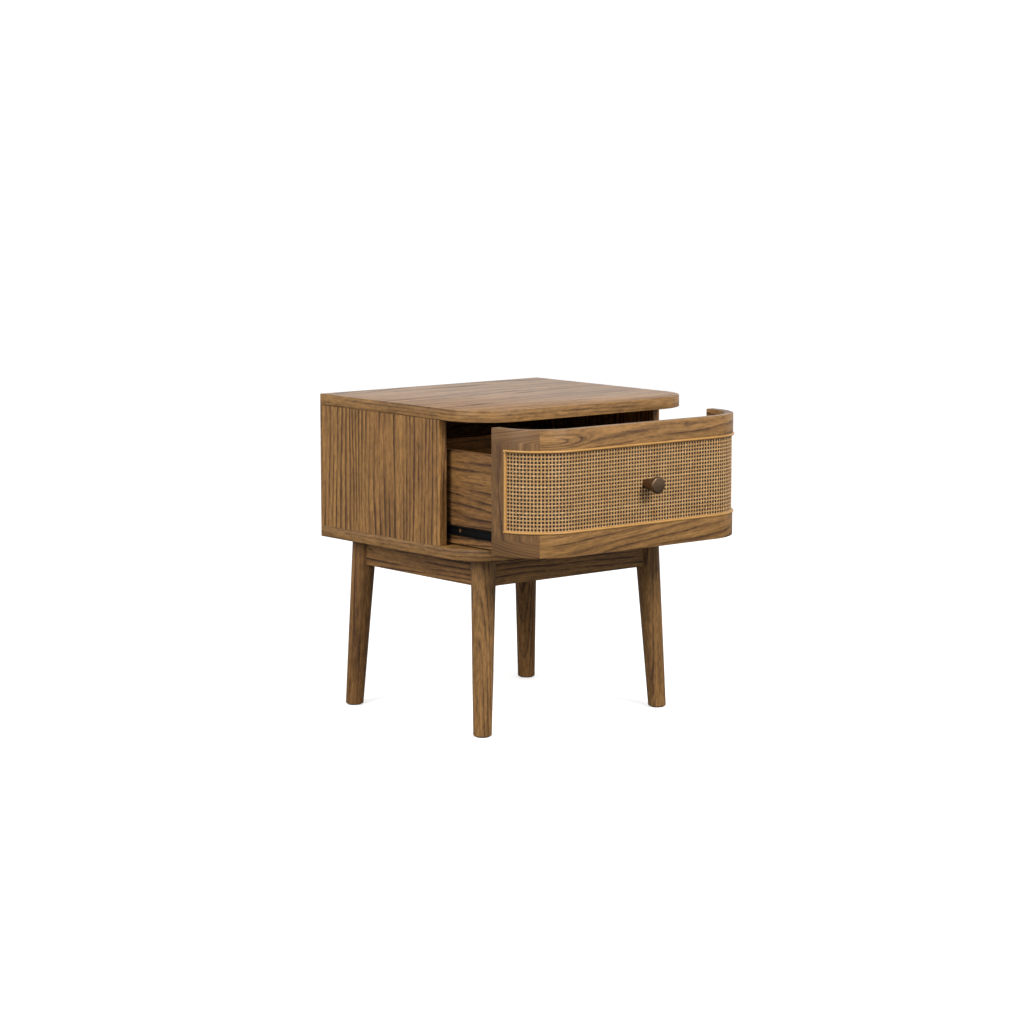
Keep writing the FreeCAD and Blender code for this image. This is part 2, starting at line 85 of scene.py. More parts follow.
def stretched_noise(tree, vector, stretch, detail=2.0, roughness=0.5):
    """Noise whose features are stretched along the grain."""
    scaled = calc_vector(tree, "MULTIPLY", vector, stretch)[0]
    inputs = {"Vector": scaled, "Scale": 1.0, "Detail": detail, "Roughness": roughness}
    return add_node(tree, "ShaderNodeTexNoise", inputs).outputs["Fac"]


def ramp(tree, value, stops):
    """A number sent through a curve of (place, height) stops."""
    made = add_node(tree, "ShaderNodeValToRGB", {"Fac": value})
    points = made.color_ramp.elements
    for place, height in stops[2:]:
        points.new(place)
    for point, (place, height) in zip(points, stops):
        point.position = place
    for point, (place, height) in zip(points, stops):
        point.color = (height, height, height, 1)
    return made.outputs["Color"]


def new_group(name, inputs, outputs):
    """An empty shader group with its sockets, and its two end nodes."""
    group = bpy.data.node_groups.new(name, "ShaderNodeTree")
    for label, kind in inputs:
        group.interface.new_socket(label, in_out="INPUT", socket_type="NodeSocket" + kind)
    for label, kind in outputs:
        group.interface.new_socket(label, in_out="OUTPUT", socket_type="NodeSocket" + kind)
    return group, group.nodes.new("NodeGroupInput").outputs, group.nodes.new("NodeGroupOutput").inputs


def make_grain():
    """Growth rings that wander along the board, with pores, fibres and slow changes of tone.

    The vector's x runs along the grain, y across it on the face, and z into the wood, in metres.
    """
    sockets = [("Vector", "Vector"), ("Pale", "Color"), ("Mid", "Color"), ("Dark", "Color")]
    sockets += [("Rings", "Float"), ("Figure", "Float"), ("Loops", "Float"), ("Sway", "Float")]
    sockets += [("Streak", "Float"), ("Eye", "Vector"), ("Eye Size", "Vector"), ("Eye Rings", "Float")]
    results = [("Color", "Color"), ("Roughness", "Float"), ("Height", "Float")]
    tree, given, out = new_group("streaked_grain", sockets, results)
    vector = given["Vector"]
    parts = add_node(tree, "ShaderNodeSeparateXYZ", {0: vector}).outputs
    slow = calc(tree, "SUBTRACT", stretched_noise(tree, vector, (1.7, 11, 11), 1.0), 0.5)
    loops = calc(tree, "SUBTRACT", stretched_noise(tree, vector, (5.5, 30, 30), 1.0), 0.5)
    sway = calc(tree, "SUBTRACT", stretched_noise(tree, vector, (16, 70, 70), 2.0), 0.5)
    across = calc(tree, "ADD", parts[1], calc(tree, "MULTIPLY", parts[2], 0.6))
    rings = calc(tree, "MULTIPLY", across, given["Rings"])
    rings = calc(tree, "ADD", rings, calc(tree, "MULTIPLY", slow, given["Figure"]))
    rings = calc(tree, "ADD", rings, calc(tree, "MULTIPLY", loops, given["Loops"]))
    rings = calc(tree, "ADD", rings, calc(tree, "MULTIPLY", sway, given["Sway"]))
    off_eye = calc_vector(tree, "SUBTRACT", vector, given["Eye"])[0]
    off_eye = calc_vector(tree, "DIVIDE", off_eye, given["Eye Size"])[0]
    off_eye = calc_vector(tree, "LENGTH", off_eye)["Value"]
    swell = ramp(tree, off_eye, [(0.0, 1.0), (0.25, 0.9), (0.6, 0.36), (0.85, 0.06), (1.0, 0.0)])
    rings = calc(tree, "ADD", rings, calc(tree, "MULTIPLY", swell, given["Eye Rings"]))
    late = ramp(tree, calc(tree, "FRACT", rings),
                [(0.0, 0.3), (0.1, 0.0), (0.45, 0.08), (0.72, 0.45), (0.86, 1.0), (0.95, 0.9), (1.0, 0.3)])
    patchy = ramp(tree, stretched_noise(tree, vector, (6, 60, 60), 2.0), [(0.4, 0.1), (0.6, 1.0)])
    fine = calc(tree, "FRACT", calc(tree, "MULTIPLY", rings, 3.3))
    fine = ramp(tree, fine, [(0.0, 0.1), (0.5, 0.15), (0.8, 1.0), (1.0, 0.1)])
    fine_patchy = ramp(tree, stretched_noise(tree, vector, (11, 90, 90), 1.0), [(0.42, 0.0), (0.6, 1.0)])
    streaks = calc(tree, "MULTIPLY", late, patchy)
    fine = calc(tree, "MULTIPLY", fine, fine_patchy)
    streaks = calc(tree, "ADD", streaks, calc(tree, "MULTIPLY", fine, 0.45))
    streaks = calc(tree, "MULTIPLY", streaks, given["Streak"])
    pores = ramp(tree, stretched_noise(tree, vector, (90, 800, 800), 1.0), [(0.56, 0.0), (0.68, 1.0)])
    pores = calc(tree, "MULTIPLY", pores, calc(tree, "ADD", 0.4, late))
    fibre = stretched_noise(tree, vector, (55, 330, 330), 3.0, 0.7)
    bands = stretched_noise(tree, vector, (5, 120, 120), 2.0, 0.6)
    tone = ramp(tree, stretched_noise(tree, vector, (2.4, 17, 17), 3.0), [(0.36, 0.0), (0.64, 1.0)])
    base = blend_colour(tree, tone, given["Pale"], given["Mid"])
    dark = calc(tree, "MINIMUM", calc(tree, "ADD", streaks, calc(tree, "MULTIPLY", pores, 0.35)), 0.94)
    base = blend_colour(tree, dark, base, given["Dark"])
    shade = calc(tree, "MULTIPLY", ramp(tree, fibre, [(0.36, 0.58), (0.64, 1.0)]), 1.42)
    shade = calc(tree, "MULTIPLY", shade, ramp(tree, bands, [(0.36, 0.78), (0.64, 1.0)]))
    wire(tree, out["Color"], blend_colour(tree, 1.0, base, shade, "MULTIPLY"))
    rough = calc(tree, "ADD", calc(tree, "MULTIPLY", streaks, 0.12), calc(tree, "MULTIPLY", fibre, 0.1))
    wire(tree, out["Roughness"], rough)
    dips = calc(tree, "MULTIPLY", pores, -0.6)
    wire(tree, out["Height"], calc(tree, "ADD", calc(tree, "MULTIPLY", fibre, 0.5), dips))
    return tree


grain = make_grain()
WALNUT = {"Pale": (0.35, 0.18, 0.056, 1), "Mid": (0.265, 0.13, 0.042, 1),
          "Dark": (0.055, 0.025, 0.014, 1)}
EVEN_WALNUT = {**WALNUT, "Pale": (0.285, 0.15, 0.051, 1), "Mid": (0.25, 0.13, 0.044, 1)}
# Painted shade: a darker copy of the walnut, for the rear legs and drawer sides that stand in shade under
# and inside the case.
SHADED_WALNUT = {"Pale": (0.26, 0.13, 0.042, 1), "Mid": (0.195, 0.093, 0.031, 1),
               "Dark": (0.04, 0.018, 0.01, 1)}


def new_material(name):
    """A material's node tree and its Principled shader."""
    made = bpy.data.materials.new(name)
    made.use_nodes = True
    return made, made.node_tree, made.node_tree.nodes["Principled BSDF"]


def emboss(tree, shader, height, distance, strength):
    """Fine relief in a shader's surface."""
    bump = add_node(tree, "ShaderNodeBump", {"Height": height, "Distance": distance, "Strength": strength})
    wire(tree, shader.inputs["Normal"], bump.outputs[0])


# The axes that run along the grain, across it and into the wood.
GRAIN_AXES = {"map": (0, 1, 2), "flat": (0, 1, 2), "x": (0, 2, 1), "y": (1, 2, 0),
              "z": (2, 1, 0), "turned": (2, 0, 1)}


def grain_vector(tree, along, shift):
    """Wood coordinates: from the piece's own grain map, or with the grain along an axis."""
    if along == "map":
        source = add_node(tree, "ShaderNodeUVMap", {}, uv_map="grain").outputs[0]
    else:
        source = add_node(tree, "ShaderNodeTexCoord", {}).outputs["Object"]
    parts = add_node(tree, "ShaderNodeSeparateXYZ", {0: source}).outputs
    order = enumerate(GRAIN_AXES[along])
    placed = add_node(tree, "ShaderNodeCombineXYZ", {i: parts[axis] for i, axis in order})
    return calc_vector(tree, "ADD", placed.outputs[0], shift)[0]


SEED_STEP = (1.37, 0.731, 0.419)
GRAIN_ROUGHNESS = 0.08
LACQUER_SHINE = 0.22
GRAIN_DEPTH = 0.0003


def veneer(name, along, seed, colours=WALNUT, roughness=0.46, eye=(0, 0, 0), eye_size=(1, 1, 1), **figure):
    """Lacquered walnut-toned wood.  An eye is a place that the rings close round."""
    made, tree, shader = new_material(name)
    shift = Vector([seed * step for step in SEED_STEP])
    wood = add_node(tree, "ShaderNodeGroup", {}, node_tree=grain)
    inputs = {"Rings": 75.0, "Figure": 5.0, "Loops": 1.2, "Sway": 0.5, "Streak": 0.8, "Eye Rings": 0.0}
    inputs.update({key.replace("_", " ").title(): value for key, value in figure.items()})
    inputs.update(colours)
    inputs["Vector"] = grain_vector(tree, along, shift)
    inputs["Eye"] = Vector(eye) + shift
    inputs["Eye Size"] = eye_size
    for key, value in inputs.items():
        wire(tree, wood.inputs[key], value)
    wire(tree, shader.inputs["Base Color"], wood.outputs["Color"])
    rough = calc(tree, "ADD", wood.outputs["Roughness"], roughness - GRAIN_ROUGHNESS)
    wire(tree, shader.inputs["Roughness"], rough)
    shader.inputs["Specular IOR Level"].default_value = LACQUER_SHINE
    emboss(tree, shader, wood.outputs["Height"], GRAIN_DEPTH, 0.35)
    return made


def round_edges(bm, edges, offset, segments):
    """Rounds edges over by an offset."""
    bmesh.ops.bevel(bm, geom=edges, offset=offset, segments=segments, profile=0.5, affect="EDGES",
                    material=-1)


def finish_piece(bm, name, materials, body, node, sharp=35):
    """Makes the mesh an object, shades it, and puts it on its body in place of any CAD node."""
    mesh = bpy.data.meshes.new(name)
    bm.to_mesh(mesh)
    bm.free()
    for material in materials:
        mesh.materials.append(material)
    mesh.shade_smooth()
    mesh.set_sharp_from_angle(angle=math.radians(sharp))
    piece = bpy.data.objects.new(name, mesh)
    bpy.context.scene.collection.objects.link(piece)
    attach(piece, body)
    if node:
        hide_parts(node)


def coat(node, material):
    """Gives a carried-over CAD node its material."""
    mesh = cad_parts[node].data
    mesh.materials.clear()
    mesh.materials.append(material)


LEG_TOP_R = 0.0196
LEG_FOOT_R = 0.0142
FOOT_EASE = 0.0016
EYE_HEIGHT = 0.235
EYE_SHARE = 0.85
EYE_FORWARD = 0.012
for number, corner in enumerate(("front_left", "front_right", "rear_left", "rear_right")):
    low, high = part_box("leg_" + corner)
    side = -1 if "left" in corner else 1
    lean = -1 if "front" in corner else 1
    foot = Vector((low.x + LEG_FOOT_R if side < 0 else high.x - LEG_FOOT_R,
                   low.y + LEG_FOOT_R if lean < 0 else high.y - LEG_FOOT_R, low.z))
    top = Vector((high.x - LEG_TOP_R if side < 0 else low.x + LEG_TOP_R,
                  high.y - LEG_TOP_R if lean < 0 else low.y + LEG_TOP_R, high.z))
    tall = high.z - low.z
    bm = bmesh.new()
    bmesh.ops.create_cone(bm, cap_ends=True, segments=64, radius1=LEG_FOOT_R, radius2=LEG_TOP_R, depth=tall)
    bmesh.ops.translate(bm, vec=(0, 0, tall / 2), verts=bm.verts)
    rim = [e for e in bm.edges if max(v.co.z for v in e.verts) < tall / 2]
    round_edges(bm, rim, FOOT_EASE, 4)
    slope = (top - foot) / tall
    standing = Matrix.Translation(foot) @ Matrix.Shear("XY", 4, (slope.x, slope.y))
    bmesh.ops.transform(bm, matrix=standing, verts=bm.verts)
    figure = {"rings": 170, "figure": 5, "loops": 0.7, "sway": 0.15, "streak": 0.75}
    if corner == "rear_left":
        figure["eye"] = (EYE_HEIGHT, foot.x + (top.x - foot.x) * EYE_SHARE, top.y - EYE_FORWARD)
        figure["eye_size"] = (0.045, 0.012, 0.03)
        figure["eye_rings"] = 3
    # Painted shade: the rear legs take the darker walnut because they stand in the case's shadow.
    colours = EVEN_WALNUT if "front" in corner else SHADED_WALNUT
    wood = veneer("turned_leg_" + corner, "turned", 3 + number, colours, **figure)
    finish_piece(bm, "turned_leg_" + corner, [wood], "case", "leg_" + corner)


# Rails between the legs.  Straight boards, 45 mm high, coped to the round legs and dowelled,
# with the grain along their length.

for seed, place, along in ((11, "front", "x"), (12, "rear", "x"), (13, "left", "y"), (14, "right", "y")):
    wood = veneer("rail_wood_" + place, along, seed, rings=105, figure=6, loops=1, sway=0.3, streak=1.25)
    coat("apron_" + place, wood)


# Corner blocks, dowels, screws and glides.  Unfinished beech blocks and dowels, zinc-plated
# screws, and a moulded glide under each foot.

BEECH = {"Pale": (0.52, 0.36, 0.21, 1), "Mid": (0.44, 0.29, 0.16, 1), "Dark": (0.25, 0.15, 0.08, 1)}


def metal(name, colour, roughness, scratch=0.08):
    """A metal with fine uneven wear in its gloss."""
    made, tree, shader = new_material(name)
    place = add_node(tree, "ShaderNodeTexCoord", {}).outputs["Object"]
    cloud = stretched_noise(tree, place, (260, 260, 260), 3.0)
    shine = calc(tree, "ADD", roughness - scratch / 2, calc(tree, "MULTIPLY", cloud, scratch))
    wire(tree, shader.inputs["Roughness"], shine)
    worn = ramp(tree, cloud, [(0.3, 0.88), (0.7, 1.08)])
    wire(tree, shader.inputs["Base Color"], blend_colour(tree, 1.0, colour, worn, "MULTIPLY"))
    shader.inputs["Metallic"].default_value = 1.0
    emboss(tree, shader, cloud, 0.0001, 0.2)
    return made


def plastic(name, colour, roughness, shine=0.5):
    """Moulded plastic or painted metal with a faint texture."""
    made, tree, shader = new_material(name)
    shader.inputs["Specular IOR Level"].default_value = shine
    place = add_node(tree, "ShaderNodeTexCoord", {}).outputs["Object"]
    speck = stretched_noise(tree, place, (900, 900, 900), 2.0)
    shade = ramp(tree, speck, [(0.3, 0.8), (0.7, 1.2)])
    wire(tree, shader.inputs["Base Color"], blend_colour(tree, 1.0, colour, shade, "MULTIPLY"))
    wire(tree, shader.inputs["Roughness"], calc(tree, "ADD", roughness, calc(tree, "MULTIPLY", speck, 0.1)))
    emboss(tree, shader, speck, 0.0001, 0.3)
    return made


beech = veneer("plain_beech", "z", 21, BEECH, 0.6, rings=140, figure=3, streak=0.3)
zinc = metal("zinc_plate", (0.55, 0.56, 0.58, 1), 0.35)
for node in ("corner_blocks", "apron_dowels", "case_dowels", "front_blocks", "drawer_dowels"):
    coat(node, beech)
for node in ("frame_screws", "back_panel_screws", "front_screws", "knob_screw"):
    coat(node, zinc)
coat("foot_glides", plastic("glide_plastic", (0.02, 0.018, 0.016, 1), 0.5))


# Bottom and top boards.  18 mm boards veneered on both faces, with the grain from side to side,
# and with their edges lipped in strips whose grain follows the outline round the front corners.

CORNER_R = 0.08
CORNER_STEPS = 32
EASED = 0.0008
SHARP_TURN = math.radians(60)
HALF_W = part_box("top_panel")[1].x
FLAT = HALF_W - CORNER_R


def round_the_front(x, y, front):
    """Length along the outline from the front's middle, to the right, and distance inside it."""
    side = math.copysign(1, x)
    if abs(x) <= FLAT and y < front + CORNER_R:
        return x, y - front
    if y > front + CORNER_R:
        return side * (FLAT + CORNER_R * math.pi / 2 + y - front - CORNER_R), HALF_W - abs(x)
    ahead = front + CORNER_R - y
    aside = abs(x) - FLAT
    return side * (FLAT + CORNER_R * math.atan2(aside, ahead)), CORNER_R - math.hypot(aside, ahead)


def upright(edge):
    """Whether an edge stands straight up."""
    a, b = edge.verts
    return abs(a.co.x - b.co.x) + abs(a.co.y - b.co.y) < 1e-6


def bow_block(low, high):
    """A block whose two front upright edges are rounded."""
    bm = bmesh.new()
    bmesh.ops.create_cube(bm, size=1.0)
    bmesh.ops.scale(bm, vec=high - low, verts=bm.verts)
    bmesh.ops.translate(bm, vec=(low + high) / 2, verts=bm.verts)
    middle = (low.y + high.y) / 2
    corners = [e for e in bm.edges if all(v.co.y < middle for v in e.verts) and upright(e)]
    round_edges(bm, corners, CORNER_R, CORNER_STEPS)
    return bm


def corner_edges(bm):
    """The level edges where two faces meet at a sharp turn."""
    level = [e for e in bm.edges if len(e.link_faces) == 2 and not upright(e)]
    return [e for e in level if e.calc_face_angle() > SHARP_TURN]


def map_board_grain(bm, front):
    """Grain map in metres: straight across the faces, and round the outline on the edges."""
    layer = bm.loops.layers.uv.new("grain")
    for face in bm.faces:
        for loop in face.loops:
            x, y, z = loop.vert.co
            if abs(face.normal.z) > 0.9:
                loop[layer].uv = (x, y)
            elif face.normal.y > 0.9:
                loop[layer].uv = (x, z)
                face.material_index = 1
            else:
                loop[layer].uv = (round_the_front(x, y, front)[0], z)
                face.material_index = 1


def bow_board(name, node, woods):
    """A veneered board with round front corners and eased edges."""
    low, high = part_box(node)
    bm = bow_block(low, high)
    round_edges(bm, corner_edges(bm), EASED, 2)
    map_board_grain(bm, low.y)
    finish_piece(bm, name, woods, "case", node, sharp=50)


PLAIN_WALNUT = {**WALNUT, "Pale": (0.3, 0.162, 0.058, 1), "Mid": (0.245, 0.13, 0.047, 1)}
lipping = veneer("edge_lipping", "map", 32, PLAIN_WALNUT, rings=170, figure=4, loops=0.6, sway=0.2,
                 streak=0.7)
bottom_veneer = veneer("bottom_veneer", "map", 31, rings=70, figure=6)
top_veneer = veneer("top_veneer", "map", 33, rings=60, figure=7, streak=0.75)
bow_board("bottom_board", "bottom_panel", [bottom_veneer, lipping])
bow_board("top_board", "top_panel", [top_veneer, lipping])


# Sides and back of the case.  14 mm side panels with strong upright streaks, butted between the
# two boards, and a thin back let into their rear edges.

for seed, side in ((41, "left"), (42, "right")):
    wood = veneer("side_veneer_" + side, "z", seed, rings=95, figure=5, loops=0.7, sway=0.22, streak=1.12)
    coat("side_panel_" + side, wood)
coat("back_panel", veneer("back_veneer", "x", 43, rings=60, figure=6, streak=0.6, roughness=0.55))


# Drawer slides.  Black-coated steel channels, with a thin ball cage between them that travels at
# half the drawer's speed, held by small yellow-plated screws.

black_steel = plastic("black_slide_coat", (0.002, 0.002, 0.002, 1), 0.48, 0.12)
yellow_zinc = metal("yellow_zinc", (0.4, 0.22, 0.11, 1), 0.38)
for side in ("left", "right"):
    coat("slide_case_member_" + side, black_steel)
    coat("slide_drawer_member_" + side, black_steel)
    coat("slide_cage_" + side, zinc)
    coat("slide_balls_" + side, zinc)
coat("slide_case_screws", yellow_zinc)
coat("slide_drawer_screws", yellow_zinc)


# Drawer box.  12 mm veneered boards with the grain along them, dowelled at the corners, round a
# thin bottom.

for seed, side in ((51, "left"), (52, "right")):
    # Painted shade: the drawer sides take the darker walnut because they sit recessed in the case's shade.
    wood = veneer("drawer_side_veneer_" + side, "y", seed, SHADED_WALNUT, rings=95, figure=5, loops=0.9,
                  sway=0.25, streak=1.05)
    coat("drawer_side_" + side, wood)
coat("drawer_inner_front", veneer("drawer_inner_veneer", "x", 53, rings=75, figure=6))
coat("drawer_back", veneer("drawer_back_veneer", "x", 54, rings=75, figure=6))
bottom_wood = veneer("drawer_bottom_veneer", "flat", 55, rings=60, figure=6, streak=0.6, roughness=0.5)
coat("drawer_bottom", bottom_wood)


# Drawer front.  Bent plywood, 14 mm thick, moulded round both corners, with a shallow window sunk
# in for the cane.  The rails above and below are veneered lengthways, and the ends upright: the
# two meet on each corner.

SHELL_T = 0.014
OUTSIDE = 0.8 * SHELL_T
WINDOW_DEEP = 0.0036
WINDOW_MARGIN = 0.027
SEAM_ANGLE = 0.7
RAIL_SLANT = 0.11
shell_low, shell_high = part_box("drawer_front_shell")
spline_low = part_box("cane_spline_bottom")[0].z
spline_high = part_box("cane_spline_top")[1].z
front_y = shell_low.y
reach = FLAT + CORNER_R * math.pi / 2 + shell_high.y - front_y - CORNER_R
window_end = reach - WINDOW_MARGIN
window_turn = (window_end - FLAT) / CORNER_R
seam = FLAT + CORNER_R * SEAM_ANGLE


def front_place(point):
    """Length round the front, distance inside it, and height of a point."""
    return (*round_the_front(point.x, point.y, front_y), point.z)


def cut_window_ends(bm):
    """Cuts the corner arcs where the window ends."""
    for side in (-1, 1):
        verts = [v for v in bm.verts if side * v.co.x > FLAT - 1e-6]
        edges = [e for e in bm.edges if all(v in verts for v in e.verts)]
        faces = [f for f in bm.faces if all(v in verts for v in f.verts)]
        across = Vector((side * math.cos(window_turn), math.sin(window_turn), 0))
        middle = Vector((side * FLAT, front_y + CORNER_R, 0))
        bmesh.ops.bisect_plane(bm, geom=verts + edges + faces, plane_co=middle, plane_no=across)


def on_rim(edge):
    """Whether a level edge lies on the front's top or bottom."""
    height = edge.verts[0].co.z
    return min(height - shell_low.z, shell_high.z - height) < 1e-5


bm = bow_block(shell_low, shell_high)
ends = [f for f in bm.faces if abs(f.normal.z) > 0.9 or f.normal.y > 0.9]
bmesh.ops.delete(bm, geom=ends, context="FACES")
for level in (spline_low, spline_high):
    everything = list(bm.verts) + list(bm.edges) + list(bm.faces)
    bmesh.ops.bisect_plane(bm, geom=everything, plane_co=(0, 0, level), plane_no=(0, 0, 1))
cut_window_ends(bm)
bmesh.ops.solidify(bm, geom=list(bm.faces), thickness=SHELL_T)
bmesh.ops.recalc_face_normals(bm, faces=bm.faces)
window = []
for face in bm.faces:
    length, inside, height = front_place(face.calc_center_median())
    if spline_low < height < spline_high and abs(length) < window_end and inside < SHELL_T / 4:
        window.append(face)
bmesh.ops.inset_region(bm, faces=window, thickness=0.0, depth=-WINDOW_DEEP, use_even_offset=True)
round_edges(bm, [e for e in corner_edges(bm) if on_rim(e)], EASED, 2)
layer = bm.loops.layers.uv.new("grain")
for face in bm.faces:
    length, inside, height = front_place(face.calc_center_median())
    face.material_index = 1 if abs(length) > seam and inside < OUTSIDE else 0
    for loop in face.loops:
        length, inside, height = front_place(loop.vert.co)
        slant = 0
        if height < spline_low + 0.001 and face.material_index == 0:
            slant = RAIL_SLANT * length
        loop[layer].uv = (length, height - inside - slant)


LEAN = 7.0
LEAN_START = 0.01
LEAN_EASE = 0.004


def corner_veneer(name):
    """Upright veneer whose grain leans over towards the rails at its top and bottom."""
    browner = {**WALNUT, "Pale": (0.188, 0.099, 0.039, 1), "Mid": (0.172, 0.09, 0.036, 1)}
    made = veneer(name, "map", 62, browner, rings=48, figure=4, loops=2, sway=0.7, streak=0.75)
    tree = made.node_tree
    parts = next(n for n in tree.nodes if n.type == "SEPXYZ")
    join = next(n for n in tree.nodes if n.type == "COMBXYZ")
    middle = (spline_low + spline_high) / 2
    half = (spline_high - spline_low) / 2
    off = calc(tree, "ABSOLUTE", calc(tree, "SUBTRACT", parts.outputs[1], middle))
    over = calc(tree, "MAXIMUM", calc(tree, "SUBTRACT", off, half + LEAN_START), 0.0)
    lean = calc(tree, "DIVIDE", calc(tree, "MULTIPLY", over, over), calc(tree, "ADD", over, LEAN_EASE))
    lean = calc(tree, "MULTIPLY", lean, LEAN)
    wire(tree, join.inputs[0], parts.outputs[1])
    wire(tree, join.inputs[1], calc(tree, "SUBTRACT", parts.outputs[0], lean))
    return made


rail_veneer = veneer("front_rail_veneer", "map", 61, EVEN_WALNUT, rings=80, figure=6, loops=1.4, sway=0.3,
                     streak=0.75, eye=(-0.19, 0.4635, 0), eye_size=(0.095, 0.0145, 1), eye_rings=2.5)
finish_piece(bm, "bent_front", [rail_veneer, corner_veneer("front_corner_veneer")],
             "drawer", "drawer_front_shell", sharp=50)


# Cane.  Split cane strands woven in pairs both ways into an open square mesh, sunk into the
# window over a backing cloth coloured near-black as painted shade for the recess.

CANE_BELOW = 0.0018
STRAND_W = 0.0011
STRAND_T = 0.0003
FACE_SHARE = 0.6
PAIR_SPREAD = 0.53
STRAY = 0.0001
WEAVE = 0.00027
ROWS = 21
cane_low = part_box("cane_webbing")[0].z
cane_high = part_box("cane_webbing")[1].z
cane_end = window_end - (cane_low - spline_low)
pitch = (cane_high - cane_low) / ROWS
columns = round(2 * cane_end / pitch)
step = 2 * cane_end / columns


def on_front(length, inside, height):
    """The point at a length round the front, a distance inside its face, and a height."""
    side = math.copysign(1, length)
    if abs(length) <= FLAT:
        return Vector((length, front_y + inside, height))
    angle = (abs(length) - FLAT) / CORNER_R
    radius = CORNER_R - inside
    x = side * (FLAT + radius * math.sin(angle))
    return Vector((x, front_y + CORNER_R - radius * math.cos(angle), height))


def straight_strand(start, end, cuts):
    """A strand along x with a flat back and a narrower face, cut into short lengths."""
    bm = bmesh.new()
    bmesh.ops.create_cube(bm, size=1.0)
    bmesh.ops.scale(bm, verts=bm.verts, vec=(end - start, STRAND_T, STRAND_W))
    bmesh.ops.translate(bm, verts=bm.verts, vec=((start + end) / 2, 0, 0))
    face = [v for v in bm.verts if v.co.y < 0]
    bmesh.ops.scale(bm, verts=face, vec=(1, 1, FACE_SHARE))
    longways = [e for e in bm.edges if e.calc_length() > (end - start) / 2]
    bmesh.ops.subdivide_edges(bm, edges=longways, cuts=cuts - 1)
    mesh = bpy.data.meshes.new("strand")
    bm.to_mesh(mesh)
    bm.free()
    return mesh


def weave_strands(count, gap, start, end, cuts, first, place, seed):
    """Pairs of strands, each waving over and under the ones that cross it.

    The first crossing of the first pair is sunk when first is 1, and raised when it is -1.
    """
    wander = random.Random(seed)
    straight = straight_strand(start, end, cuts)
    bm = bmesh.new()
    tint = bm.verts.layers.float.new("strand_tint")
    dip_shade = bm.verts.layers.float.new("strand_dip_shade")
    for line in range(count):
        for half in (-1, 1):
            before = len(bm.verts)
            bm.from_mesh(straight)
            bm.verts.ensure_lookup_table()
            shade = wander.uniform(0.0, 1.0)
            offset = half * STRAND_W * PAIR_SPREAD + wander.uniform(-STRAY, STRAY)
            for v in bm.verts[before:]:
                dip = first * math.cos(math.pi * ((v.co.x - start) / gap + line))
                v.co = place(line, v.co.x, offset + v.co.z, CANE_BELOW + STRAND_T + v.co.y + WEAVE * dip)
                v[tint] = shade
                # Painted shade: each vertex keeps how deep its strand dips, so the cane's colour darkens
                # where it passes under a crossing strand.
                v[dip_shade] = 0.5 - 0.5 * dip
    bpy.data.meshes.remove(straight)
    bmesh.ops.recalc_face_normals(bm, faces=bm.faces)
    return bm


def split_cane(name):
    """Pale glossy cane skin, no two strands quite alike, with painted shade where the strands dip under
    each other.
    """
    made, tree, shader = new_material(name)
    place = add_node(tree, "ShaderNodeTexCoord", {}).outputs["Object"]
    strand_tint = add_node(tree, "ShaderNodeAttribute", {}, attribute_name="strand_tint").outputs["Fac"]
    patch = stretched_noise(tree, place, (60, 60, 60), 3.0)
    speck = stretched_noise(tree, place, (420, 420, 420), 2.0)
    mixed = calc(tree, "MULTIPLY", strand_tint, 0.45)
    mixed = calc(tree, "ADD", mixed, calc(tree, "MULTIPLY", patch, 0.55))
    tan = blend_colour(tree, mixed, (0.44, 0.215, 0.062, 1), (0.84, 0.53, 0.24, 1))
    dip_shade = add_node(tree, "ShaderNodeAttribute", {}, attribute_name="strand_dip_shade").outputs["Fac"]
    worn = ramp(tree, speck, [(0.36, 0.72), (0.64, 1.0)])
    # Painted shade: the colour falls to 0.4 where a strand dips under the ones that cross it, and stays
    # full on top of the crossings.
    shade = calc(tree, "MULTIPLY", worn, ramp(tree, dip_shade, [(0.1, 0.4), (0.9, 1.0)]))
    wire(tree, shader.inputs["Base Color"], blend_colour(tree, 1.0, tan, shade, "MULTIPLY"))
    wire(tree, shader.inputs["Roughness"], calc(tree, "ADD", 0.3, calc(tree, "MULTIPLY", speck, 0.2)))
    emboss(tree, shader, speck, 0.0001, 0.3)
    return made


def level_place(line, along, off, inside):
    """A point of a level strand: the lines count upwards."""
    return on_front(along, inside, cane_low + line * pitch + off)


def upright_place(line, along, off, inside):
    """A point of an upright strand: the lines count from the left."""
    return on_front(-cane_end + line * step + off, inside, cane_low + along)


cane_skin = split_cane("split_cane")
level = weave_strands(ROWS + 1, step, -cane_end, cane_end, columns, 1, level_place, 7)
finish_piece(level, "cane_strands_level", [cane_skin], "drawer", "cane_webbing", sharp=80)
post = weave_strands(columns + 1, pitch, 0, cane_high - cane_low, ROWS, -1, upright_place, 8)
finish_piece(post, "cane_strands_upright", [cane_skin], "drawer", None, sharp=80)


def backing_painted_shade():
    """Matt backing cloth behind the cane: a real sheet, made near-black as painted shade for the recess
    behind the weave.
    """
    made, tree, shader = new_material("backing_painted_shade")
    place = add_node(tree, "ShaderNodeTexCoord", {}).outputs["Object"]
    threads = stretched_noise(tree, place, (1400, 1400, 1400), 1.0)
    # Painted shade: this near-black brown stands in for the shade in the recess behind the cane.
    brown = blend_colour(tree, threads, (0.006, 0.004, 0.003, 1), (0.015, 0.01, 0.007, 1))
    wire(tree, shader.inputs["Base Color"], brown)
    shader.inputs["Roughness"].default_value = 0.9
    return made


coat("cane_backing", backing_painted_shade())


# Splines.  Round rattan reed, glued into the edge of the window over the cane's cut ends, one
# length along the top, one along the bottom and one up each end.

